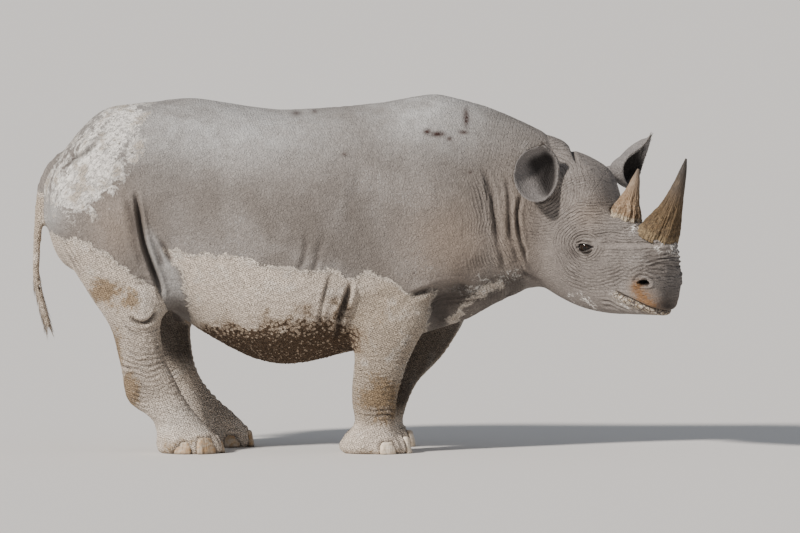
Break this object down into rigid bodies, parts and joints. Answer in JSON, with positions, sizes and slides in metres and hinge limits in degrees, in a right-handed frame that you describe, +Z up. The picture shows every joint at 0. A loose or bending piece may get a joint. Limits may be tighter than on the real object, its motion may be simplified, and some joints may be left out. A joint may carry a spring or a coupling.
{
  "type": "black rhinoceros",
  "caption": "Life-size black rhinoceros standing still on all its feet, head turned to its right, with a long front horn, a shorter rear horn and cupped ears.",
  "frame": {"origin": "on the floor, in the middle of the box that holds the animal", "axes": "+X towards the nose, +Y to the animal's left, +Z up"},
  "size_m": [2.841, 0.8792, 1.552],
  "materials": {
    "hide": "grey, dry, finely wrinkled hide with pale dried mud",
    "foot_hide": "dusty pale hide",
    "horn": "fibrous brown horn, darker at the tip",
    "nail": "dull ochre nail",
    "eye": "wet dark brown"
  },
  "bodies": {
    "root": {"trunk": "hide", "neck": "hide", "head": "hide", "tail": "hide", "ear_right": "hide", "ear_left": "hide", "foreleg_right": "hide", "foreleg_left": "hide", "hindleg_right": "hide", "hindleg_left": "hide", "forefoot_right": "foot_hide", "forefoot_left": "foot_hide", "hindfoot_right": "foot_hide", "hindfoot_left": "foot_hide", "horn_front": "horn", "horn_rear": "horn", "eye_right": "eye", "eye_left": "eye", "nail_forefoot_right_middle": "nail", "nail_forefoot_right_inner": "nail", "nail_forefoot_right_outer": "nail", "nail_forefoot_left_middle": "nail", "nail_forefoot_left_inner": "nail", "nail_forefoot_left_outer": "nail", "nail_hindfoot_right_middle": "nail", "nail_hindfoot_right_inner": "nail", "nail_hindfoot_right_outer": "nail", "nail_hindfoot_left_middle": "nail", "nail_hindfoot_left_inner": "nail", "nail_hindfoot_left_outer": "nail"}
  },
  "joints": []
}
